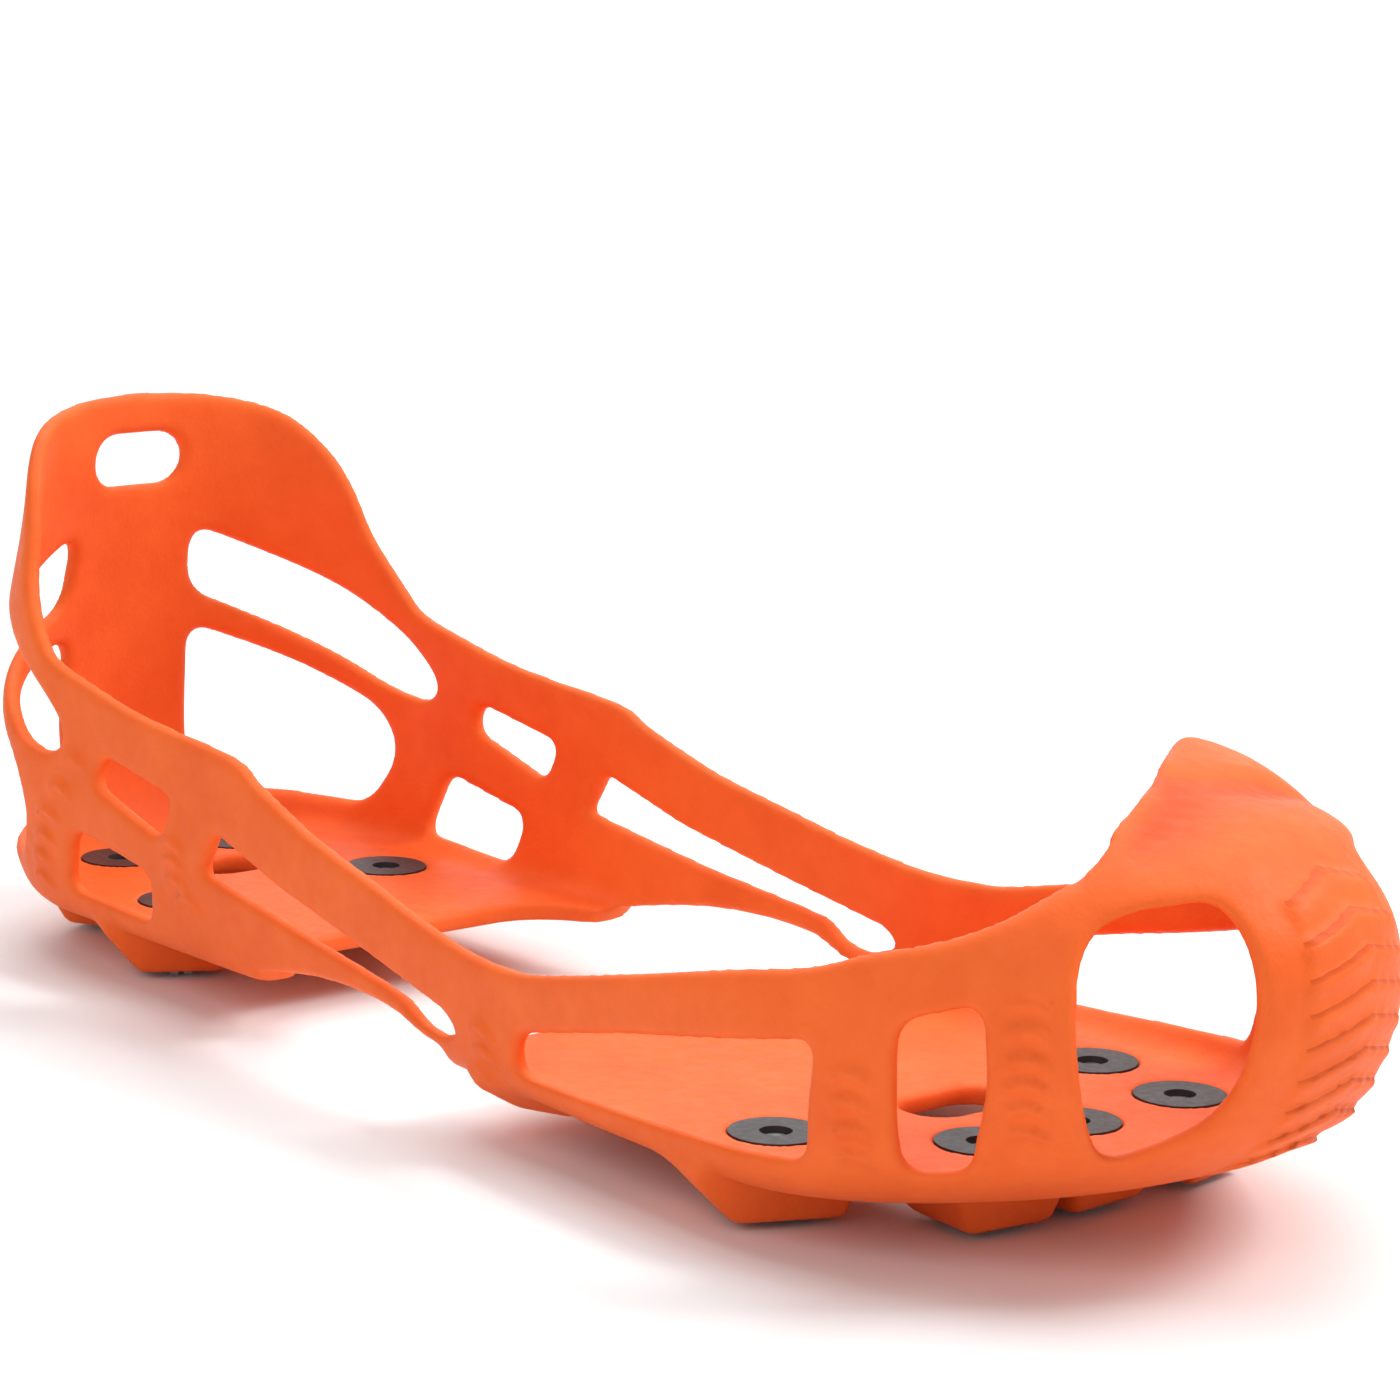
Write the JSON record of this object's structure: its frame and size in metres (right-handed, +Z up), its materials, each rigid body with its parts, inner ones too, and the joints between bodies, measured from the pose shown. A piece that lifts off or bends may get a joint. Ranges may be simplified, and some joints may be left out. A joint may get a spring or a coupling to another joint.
{
  "type": "shoe ice cleats",
  "caption": "Stretch-on elastomer shoe harness with a windowed toe cap, side bands, heel cup with pull tab and a lugged sole that carries screw-in steel ice cleats.",
  "frame": {"origin": "under the middle of the object's length and width, at the height of the cleat tips that it stands on", "axes": "+X towards the toe, +Y to the wearer's left, +Z up out of the shoe"},
  "size_m": [0.2946, 0.1048, 0.0935],
  "materials": {
    "elastomer": "matte moulded bright orange elastomer",
    "cleat_steel": "hardened zinc-plated steel, machined teeth",
    "insert_plastic": "matte black moulded plastic"
  },
  "bodies": {
    "forefoot": {"harness_toe": "elastomer", "harness_ball_web": "elastomer", "cleat_toe_centre": "cleat_steel", "insert_toe_centre": "insert_plastic", "cleat_toe_left": "cleat_steel", "insert_toe_left": "insert_plastic", "cleat_toe_right": "cleat_steel", "insert_toe_right": "insert_plastic", "cleat_ball_left": "cleat_steel", "insert_ball_left": "insert_plastic", "cleat_ball_right": "cleat_steel", "insert_ball_right": "insert_plastic"},
    "instep": {"harness_instep": "elastomer", "harness_arch_straps": "elastomer", "cleat_instep": "cleat_steel", "insert_instep": "insert_plastic"},
    "heel": {"harness_heel": "elastomer", "cleat_heel_front_left": "cleat_steel", "insert_heel_front_left": "insert_plastic", "cleat_heel_front_right": "cleat_steel", "insert_heel_front_right": "insert_plastic", "cleat_heel_rear_left": "cleat_steel", "insert_heel_rear_left": "insert_plastic", "cleat_heel_rear_right": "cleat_steel", "insert_heel_rear_right": "insert_plastic"}
  },
  "joints": [
    {"name": "ball_flex", "type": "hinge", "parent": "forefoot", "child": "instep", "pos_m": [0.0465, 0, 0.011], "axis": [0, 1, 0], "range_deg": [-10, 35], "stiffness_Nm_per_rad": 0.3, "deforming": ["harness_ball_web"]},
    {"name": "arch_flex", "type": "hinge", "parent": "instep", "child": "heel", "pos_m": [-0.024, 0, 0.024], "axis": [0, 1, 0], "range_deg": [-15, 55], "stiffness_Nm_per_rad": 0.3, "deforming": ["harness_arch_straps"]}
  ]
}
